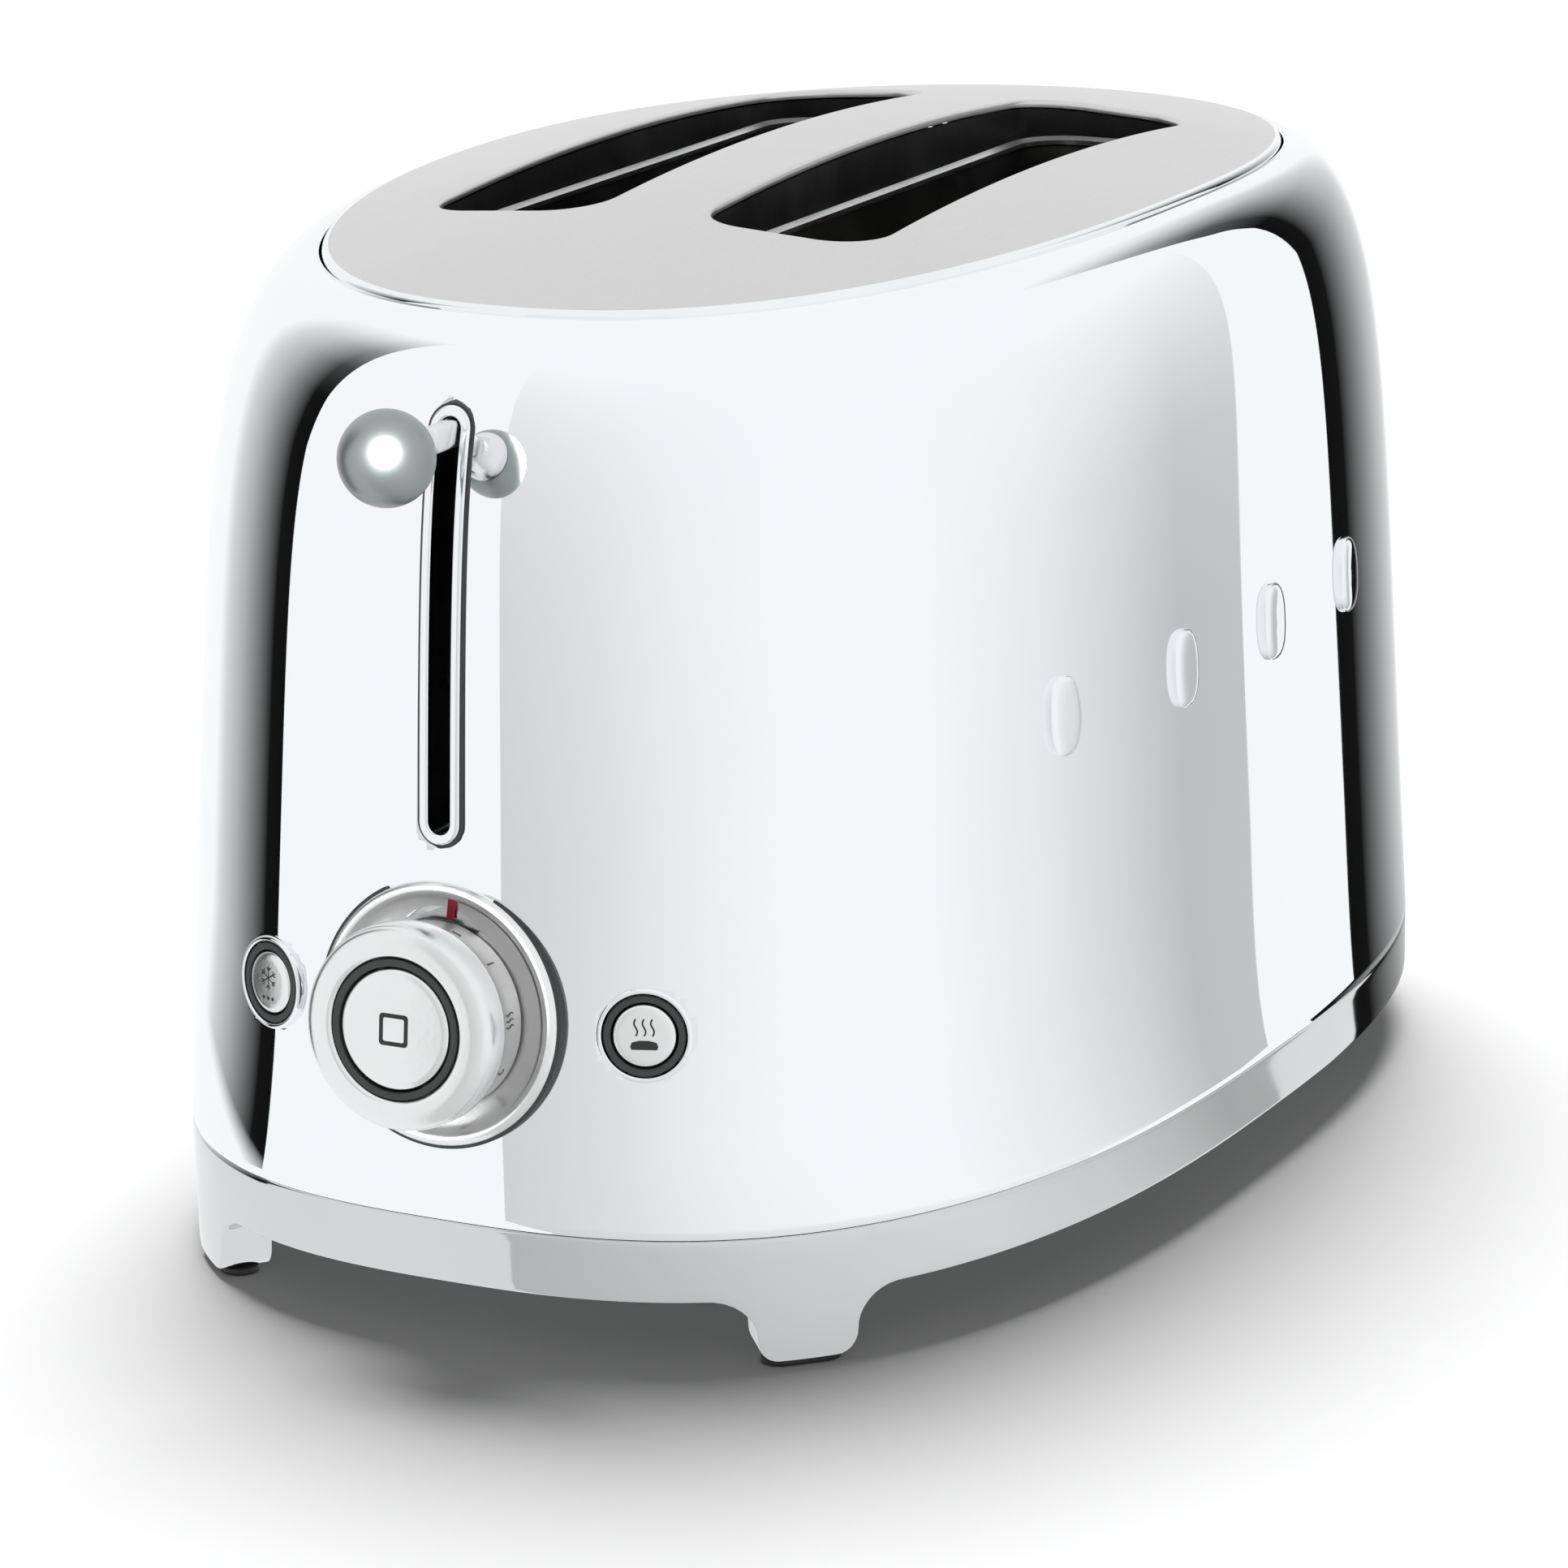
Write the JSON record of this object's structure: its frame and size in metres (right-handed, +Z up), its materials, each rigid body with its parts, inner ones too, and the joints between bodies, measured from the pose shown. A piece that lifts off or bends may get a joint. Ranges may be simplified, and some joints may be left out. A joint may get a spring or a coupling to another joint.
{
  "type": "pop up toaster",
  "caption": "Pillow-shaped polished pop-up toaster with long bread slots in a crowned top, a ball lever, a browning dial with a stop button, push buttons and a crumb tray.",
  "frame": {"origin": "on the table below the middle of the toaster's outer box", "axes": "+X along the body, away from the lever end; +Y to the far long side; +Z up"},
  "size_m": [0.338, 0.195, 0.199],
  "materials": {
    "polished_chrome": "mirror-polished chrome plate",
    "satin_steel": "fine satin steel",
    "black_enamel": "heat-proof black enamel, semi-matt",
    "zinc_steel": "zinc-plated sheet and wire",
    "mica": "layered mica board",
    "dark_plastic": "moulded dark grey plastic, matt",
    "rubber": "matt black rubber",
    "copper": "enamelled copper winding",
    "board": "green circuit board"
  },
  "bodies": {
    "housing": {"badge_stud_1": "polished_chrome", "badge_stud_2": "polished_chrome", "badge_stud_3": "polished_chrome", "badge_stud_4": "polished_chrome", "base_plate": "zinc_steel", "base_ring": "polished_chrome", "base_screw_front_left": "zinc_steel", "base_screw_front_right": "zinc_steel", "base_screw_rear_left": "zinc_steel", "base_screw_rear_right": "zinc_steel", "body_shell": "polished_chrome", "chassis_front": "zinc_steel", "chassis_rear": "zinc_steel", "control_board": "board", "cord_gland": "dark_plastic", "cord_wrap": "dark_plastic", "defrost_bezel": "polished_chrome", "defrost_seal": "dark_plastic", "defrost_switch": "dark_plastic", "dial_dish": "polished_chrome", "electromagnet": "copper", "foot_pad_front_left": "rubber", "foot_pad_front_right": "rubber", "foot_pad_rear_left": "rubber", "foot_pad_rear_right": "rubber", "guide_rod_front": "zinc_steel", "guide_rod_rear": "zinc_steel", "heat_shield_front": "zinc_steel", "heat_shield_rear": "zinc_steel", "heater_card_front": "mica", "heater_card_middle": "mica", "heater_card_rear": "mica", "lever_bezel": "polished_chrome", "lift_spring": "zinc_steel", "potentiometer": "dark_plastic", "reheat_bezel": "polished_chrome", "reheat_seal": "dark_plastic", "reheat_switch": "dark_plastic", "rod_bridge": "zinc_steel", "slot_liner_front": "black_enamel", "slot_liner_rear": "black_enamel", "stop_switch": "dark_plastic", "top_plate": "satin_steel"},
    "carriage": {"lift_carriage": "zinc_steel", "lever_arm": "zinc_steel", "lever_collar": "polished_chrome", "lever_ball": "polished_chrome", "latch_plate": "zinc_steel", "bread_rack_front": "zinc_steel", "bread_rack_rear": "zinc_steel"},
    "guide_front_outer": {"bread_guide_front_outer": "zinc_steel"},
    "guide_front_inner": {"bread_guide_front_inner": "zinc_steel"},
    "guide_rear_inner": {"bread_guide_rear_inner": "zinc_steel"},
    "guide_rear_outer": {"bread_guide_rear_outer": "zinc_steel"},
    "dial": {"dial_knob": "polished_chrome", "stop_ring": "dark_plastic"},
    "stop": {"stop_button": "polished_chrome"},
    "defrost": {"defrost_button": "polished_chrome"},
    "reheat": {"reheat_button": "polished_chrome"},
    "tray": {"crumb_tray": "zinc_steel"}
  },
  "joints": [
    {"name": "lever_slide", "type": "slide", "parent": "housing", "child": "carriage", "axis": [0, 0, -1], "range_m": [0, 0.0684], "stiffness_N_per_m": 120, "springref_m": -0.03, "deforming": ["lift_spring"]},
    {"name": "guide_front_outer_slide", "type": "slide", "parent": "housing", "child": "guide_front_outer", "axis": [0, 1, 0], "range_m": [0, 0.008]},
    {"name": "guide_front_inner_slide", "type": "slide", "parent": "housing", "child": "guide_front_inner", "axis": [0, -1, 0], "range_m": [0, 0.008]},
    {"name": "guide_rear_inner_slide", "type": "slide", "parent": "housing", "child": "guide_rear_inner", "axis": [0, 1, 0], "range_m": [0, 0.008]},
    {"name": "guide_rear_outer_slide", "type": "slide", "parent": "housing", "child": "guide_rear_outer", "axis": [0, -1, 0], "range_m": [0, 0.008]},
    {"name": "dial_turn", "type": "hinge", "parent": "housing", "child": "dial", "pos_m": [-0.14651, 0, 0.0639], "axis": [-0.9958, 0, 0.0912], "range_deg": [-12, 258]},
    {"name": "stop_press", "type": "slide", "parent": "housing", "child": "stop", "axis": [0.9958, 0, -0.0912], "range_m": [0, 0.0012], "stiffness_N_per_m": 900, "springref_m": -0.001},
    {"name": "defrost_press", "type": "slide", "parent": "housing", "child": "defrost", "axis": [0.9302, -0.363, -0.0542], "range_m": [0, 0.0012], "stiffness_N_per_m": 900, "springref_m": -0.001},
    {"name": "reheat_press", "type": "slide", "parent": "housing", "child": "reheat", "axis": [0.9302, 0.363, -0.0542], "range_m": [0, 0.0012], "stiffness_N_per_m": 900, "springref_m": -0.001},
    {"name": "tray_slide", "type": "slide", "parent": "housing", "child": "tray", "axis": [1, 0, 0], "range_m": [0, 0.15]}
  ],
  "couplings": [
    {"joint": "guide_front_outer_slide", "follows": "lever_slide", "ratio": 0.11696},
    {"joint": "guide_front_inner_slide", "follows": "lever_slide", "ratio": 0.11696},
    {"joint": "guide_rear_inner_slide", "follows": "lever_slide", "ratio": 0.11696},
    {"joint": "guide_rear_outer_slide", "follows": "lever_slide", "ratio": 0.11696}
  ]
}
